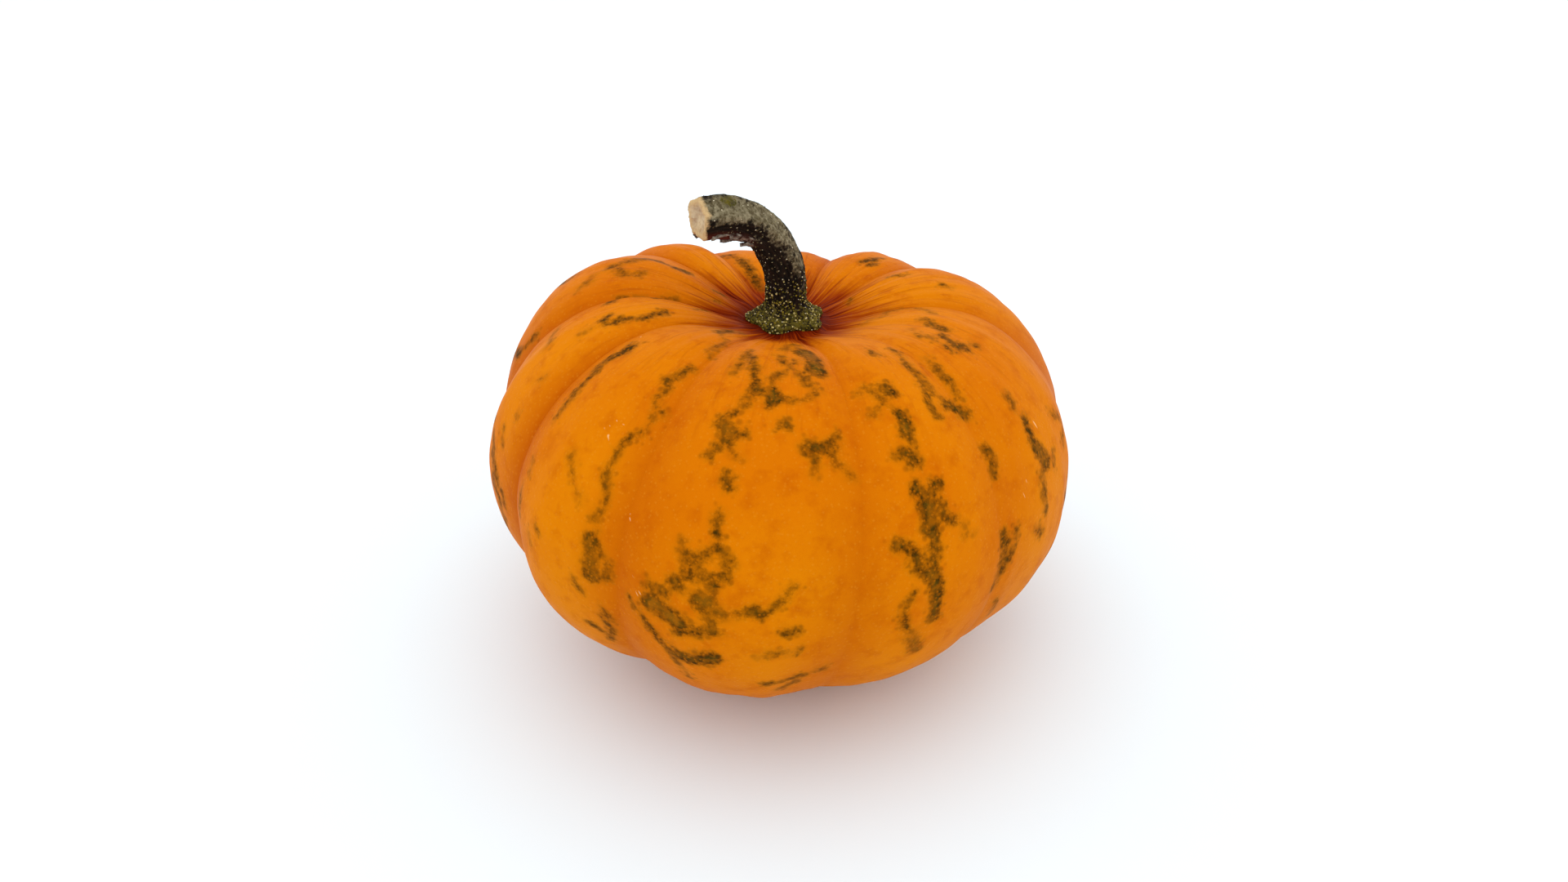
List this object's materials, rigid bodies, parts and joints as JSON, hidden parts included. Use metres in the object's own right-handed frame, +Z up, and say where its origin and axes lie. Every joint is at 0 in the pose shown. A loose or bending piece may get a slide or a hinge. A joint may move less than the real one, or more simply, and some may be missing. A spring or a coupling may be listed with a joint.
{
  "type": "pumpkin",
  "caption": "Small squat orange pumpkin with uneven ribs, a hollow crown and a dried stem that bends over to a cut end; it stands on a flat resting spot.",
  "frame": {"origin": "under the middle of the whole object, on the surface it rests on", "axes": "+Z up; -Y is the front, where the widest rib faces and the stem bends forward and to the left; +X is to the right"},
  "size_m": [0.1208, 0.1268, 0.0968],
  "materials": {
    "rind": "satin, waxy orange rind with dark green-brown blotches and fine pale pores",
    "dry_stem": "rough dried stem, brown-black with grey and mossy patches and a pale cut end"
  },
  "bodies": {
    "root": {"fruit": "rind", "stem": "dry_stem"}
  },
  "joints": []
}
